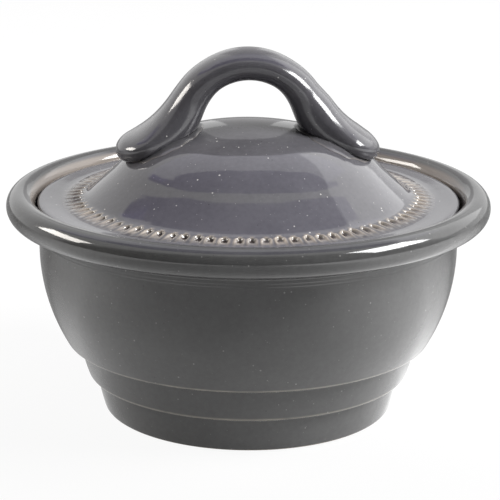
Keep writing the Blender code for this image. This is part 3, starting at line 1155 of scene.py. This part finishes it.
@dataclass
class SlipSeam:
    """Smear of joining slip round a foot of the handle, glazed over. Sizes in mm."""

    lid: Lid
    side: float
    node: str
    seed: int
    middle_x: float = 21.0
    half_length: float = 9.4
    half_width: float = 13.6
    thickness: float = 1.5
    margin_rise: float = 0.03

    def build(self) -> Object:
        """Flatten a ball into a thin pad, lay it on the dome and give it an uneven margin.

        Returns:
            The pad of slip.
        """
        deselect()
        bpy.ops.mesh.primitive_uv_sphere_add(segments=96, ring_count=40, radius=MM)
        obj = bpy.context.object
        obj.name = obj.data.name = self.node.replace("seam", "smear")
        rng = random.Random(self.seed)
        waves = []
        for count in (2, 3, 5, 8, 13):
            waves.append((count, rng.uniform(0.0, FULL_TURN), rng.uniform(0.01, 0.022)))
        thin = []
        for point in obj.data.vertices:
            angle = math.atan2(point.co.y, point.co.x)
            flat = Vector(point.co.xy).length / MM
            margin = 1.0 + sum(size * math.sin(n * angle + turn) for n, turn, size in waves)
            x = self.side * self.middle_x + flat * math.cos(angle) * self.half_length * margin
            y = flat * math.sin(angle) * self.half_width * margin
            rise = self.thickness * max(0.0, point.co.z / MM) ** 1.6 + self.margin_rise
            thin.append(0.35 * smooth(flat, 0.95, 0.99))
            point.co = Vector((x, y, self.lid.height(math.hypot(x, y)) + rise)) * MM
        obj.data.attributes.new("thin_glaze", "FLOAT", "POINT").data.foreach_set("value", thin)
        with editing(obj):
            close_seams()
        bpy.ops.object.shade_smooth()
        return obj

    def dress(self, obj: Object) -> None:
        """Glaze the slip.

        Args:
            obj: The pad of slip.
        """
        glaze = StonewareGlaze(
            name="grey_stoneware_glaze_over_slip_" + self.node.split("_")[0],
            thick="4d4c4f",
            thin="575659",
            edge="8d857c",
            roughness=0.12,
            edge_attribute="thin_glaze",
        )
        dress(obj, glaze, Body.LID, Slot.SLIP, self.node)


@dataclass(frozen=True)
class Softbox:
    """Rectangular studio light, aimed at the object. Angles in degrees, lengths in metres.

    Azimuth 0 is the camera's side and 90 is on the right.
    """

    name: str
    azimuth: float
    elevation: float
    distance: float
    width: float
    height: float
    radiance: float
    tint: str = "ffffff"
    aim_height: float = 0.06

    def build(self) -> None:
        """Add the lamp."""
        azimuth = math.radians(self.azimuth)
        elevation = math.radians(self.elevation)
        level = math.cos(elevation)
        way = Vector((math.sin(azimuth) * level, -math.cos(azimuth) * level, math.sin(elevation)))
        lamp = bpy.data.lights.new(self.name, "AREA")
        lamp.shape = "RECTANGLE"
        lamp.size = self.width
        lamp.size_y = self.height
        lamp.energy = self.radiance * math.pi * self.width * self.height
        lamp.color = linear(self.tint)[:3]
        obj = bpy.data.objects.new(self.name, lamp)
        obj.location = way * self.distance + Vector((0.0, 0.0, self.aim_height))
        obj.rotation_euler = (-way).to_track_quat("-Z", "Y").to_euler()
        bpy.context.scene.collection.objects.link(obj)


@dataclass(frozen=True)
class DimPanel:
    """Flat painted panel of the room that only the glaze mirrors. Lengths in metres."""

    name: str
    corners: tuple[Corner, ...]
    glow: str

    def build(self) -> None:
        """Cut the panel out of a disc and hang it as part of the stage."""
        deselect()
        count = len(self.corners)
        bpy.ops.mesh.primitive_circle_add(vertices=count, radius=1.0, fill_type="NGON")
        obj = bpy.context.object
        obj.name = obj.data.name = self.name
        for point, place in zip(obj.data.vertices, self.corners):
            point.co = place
        material, add = new_material(self.name + "_paint")
        paint = add(EMISSION, {"Color": linear(self.glow), "Strength": 1.0})
        add("ShaderNodeOutputMaterial", {"Surface": paint})
        obj.data.materials.append(material)
        obj.visible_camera = False
        obj.visible_diffuse = False
        obj.visible_shadow = False


@dataclass
class Studio:
    """White table and surround, soft lights and the camera.

    Lengths in metres, lens and sensor in mm. The camera's turn about Z is in degrees, and its
    pitch, yaw and roll are in radians.
    """

    lens: float = 133.009
    sensor: float = 36.0
    camera_turn: float = -3.5
    camera_back: float = 0.450408
    camera_height: float = 0.168324
    pitch: float = 0.278
    yaw: float = -0.001
    roll: float = 0.006
    fill: float = 0.2
    room: float = 0.08
    sweep: float = 1.06
    table_radius: float = 6.0
    table_gap: float = 0.2 * MM
    table_glow: float = 0.92
    # Middle of the painted shade on the table, in front of the bowl.
    painted_shade_front: Point = (-0.04, -0.22)
    boxes: tuple[Softbox, ...] = (
        Softbox("left_softbox", -104.0, 26.0, 1.2, 0.62, 0.34, 14.0, "fffaf4"),
        Softbox("right_softbox", 76.0, 38.0, 1.2, 0.66, 0.47, 24.5),
        Softbox("overhead_softbox", 180.0, 62.0, 1.3, 2.0, 0.7, 0.25, "b8aeff"),
        Softbox("right_back_softbox", 121.0, 33.0, 1.3, 1.2, 0.9, 1.2),
    )
    ceiling_height: float = 1.25
    ceiling: tuple[Point, ...] = (
        (-0.71, 0.0), (-0.5, -0.13), (-0.25, -0.235), (0.0, -0.275), (0.25, -0.25),
        (0.46, -0.195), (0.6, -0.15), (0.82, 0.02), (0.955, 0.16), (1.13, 0.42),
        (1.06, 0.5), (0.9, 0.34), (0.72, 0.4), (0.57, 0.4), (0.4, 0.32),
        (0.03, 0.27), (-0.38, 0.36), (-0.6, 0.46), (-0.72, 0.5), (-0.82, 0.42),
        (-0.95, 0.66), (-1.05, 1.0), (-1.22, 1.0), (-1.165, 0.78), (-0.975, 0.378),
    )
    wall_back: float = 1.4
    wall: tuple[Point, ...] = (
        (0.01, 0.05), (0.16, 0.05), (0.16, 0.46), (0.42, 0.52),
        (0.5, 2.1), (-0.3, 2.1), (-0.22, 0.52), (0.01, 0.46),
    )

    def surround(self) -> None:
        """White to the camera; to the glaze, a white sweep behind and a dim room in front."""
        world = bpy.data.worlds.new("white_surround")
        bpy.context.scene.world = world
        world.use_nodes = True
        world.node_tree.nodes.clear()
        add = partial(add_node, world.node_tree)
        path = add("ShaderNodeLightPath")
        way = add("ShaderNodeTexCoord").outputs["Generated"]
        tilt = add(VECTOR, {0: way, 1: (0.0, 0.8, 0.6)}, operation="DOT_PRODUCT")
        sweep = add(RANGE, {"Value": tilt, 1: 0.05, 2: 0.33, 3: self.room, 4: self.sweep}, **SOFT)
        mirrored = add(RANGE, {"Value": path.outputs["Is Glossy Ray"], 3: self.fill, 4: sweep})
        level = add(RANGE, {"Value": path.outputs["Is Camera Ray"], 3: mirrored, 4: 1.0})
        sky = add("ShaderNodeBackground", {"Color": WHITE, "Strength": level})
        add("ShaderNodeOutputWorld", {"Surface": sky})

    def table_top(self) -> bpy.types.Material:
        """Matt white with painted shade, greyer in front, and with a light of its own, painted
        lighter and darker, for what the glaze mirrors of it.

        Returns:
            The new material.
        """
        material, add = new_material("matt_white_table_top")
        place = add("ShaderNodeTexCoord").outputs["Object"]
        parts = add(SPLIT, {"Vector": place})
        # Painted shade: the table turns grey towards a spot in front of the bowl, standing in for
        # shade there.
        x, y = self.painted_shade_front
        near = add(MATH, {0: parts.outputs["Y"], 1: y}, operation="MAXIMUM")
        strip = add(JOIN, {"X": parts.outputs["X"], "Y": near})
        front = add(VECTOR, {0: strip, 1: (x, y, 0.0)}, operation="DISTANCE")
        back = add(RANGE, {"Value": front, 1: 0.1, 2: 0.25}, **SOFT)
        shade = {"Factor": back, 6: linear("9a9a9a"), 7: linear("f4f4f4")}
        matt = add("ShaderNodeBsdfDiffuse", {"Color": add(MIX, shade, data_type="RGBA")})
        # Painted light and shadow for the glaze to mirror: dim in front, brighter to the sides and
        # the right, dimmer round the foot where the bowl shades the table, and dim behind.
        unit = add(VECTOR, {0: place}, operation="NORMALIZE")
        bearing = add(SPLIT, {"Vector": unit})
        side = add(RANGE, {"Value": bearing.outputs["X"], 1: -0.7, 2: 0.7, 3: 1.5, 4: 2.4})
        close = add(RANGE, {"Value": parts.outputs["X"], 1: -0.02, 2: 0.06, 3: 0.7, 4: 1.8})
        level = add(RANGE, {"Value": back, 3: 0.82, 4: side})
        away = add(VECTOR, {0: place}, operation="LENGTH")
        floor = add(RANGE, {"Value": away, 1: 0.035, 2: 0.075, 3: close, 4: level}, **SOFT)
        rear = add(RANGE, {"Value": bearing.outputs["Y"], 1: 0.05, 2: 0.6, 3: floor, 4: 0.35})
        bounce = add(EMISSION, {"Color": WHITE, "Strength": rear})
        path = add("ShaderNodeLightPath")
        lit = add("ShaderNodeMixShader", {0: path.outputs["Is Glossy Ray"], 1: matt, 2: bounce})
        glow = add(EMISSION, {"Color": WHITE, "Strength": 1.0})
        seen_straight = path.outputs["Is Camera Ray"]
        share = add(MATH, {0: seen_straight, 1: self.table_glow}, operation="MULTIPLY")
        seen = add("ShaderNodeMixShader", {0: share, 1: lit, 2: glow})
        add("ShaderNodeOutputMaterial", {"Surface": seen})
        return material

    def table(self) -> None:
        """White table that keeps the soft shadow of the bowl."""
        deselect()
        bpy.ops.mesh.primitive_circle_add(vertices=96, radius=self.table_radius, fill_type="NGON")
        obj = bpy.context.object
        obj.name = obj.data.name = "white_table"
        with editing(obj):
            bpy.ops.transform.translate(value=(0.0, 0.0, -self.table_gap))
        obj.data.materials.append(self.table_top())

    def lights(self) -> None:
        """Softboxes and dim panels that the glaze mirrors."""
        for box in self.boxes:
            box.build()
        ceiling = tuple((x, y, self.ceiling_height) for x, y in self.ceiling)
        DimPanel("dim_ceiling", ceiling, "7b74ac").build()
        wall = tuple((x, self.wall_back, z) for x, z in self.wall)
        DimPanel("grey_wall", wall, "cbcacb").build()

    def camera(self) -> None:
        """Camera at the viewpoint of the photograph."""
        data = bpy.data.cameras.new("camera")
        data.lens = self.lens
        data.sensor_width = self.sensor
        obj = bpy.data.objects.new("camera", data)
        bpy.context.scene.collection.objects.link(obj)
        obj.matrix_world = (
            Matrix.Rotation(math.radians(self.camera_turn), 4, "Z")
            @ Matrix.Translation((0.0, -self.camera_back, self.camera_height))
            @ Matrix.Rotation(self.yaw, 4, "Z")
            @ Matrix.Rotation(math.pi / 2 - self.pitch, 4, "X")
            @ Matrix.Rotation(self.roll, 4, "Z")
        )
        bpy.context.scene.camera = obj

    def build(self) -> None:
        """Set up the whole studio."""
        bpy.context.scene.view_settings.view_transform = "Standard"
        self.surround()
        self.table()
        self.lights()
        self.camera()


def main() -> None:
    """Load the frame, build and dress each piece, and set up the studio."""
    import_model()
    logging.basicConfig(level=logging.INFO, format="%(name)s: %(message)s")
    lid = Lid()
    parts = (
        Bowl(),
        lid,
        Handle(lid),
        SlipSeam(lid, 1.0, "right_slip_seam", 5),
        SlipSeam(lid, -1.0, "left_slip_seam", 8),
    )
    for part in parts:
        part.dress(part.build())
    Studio().build()
    deselect()


if __name__ == "__main__":
    main()
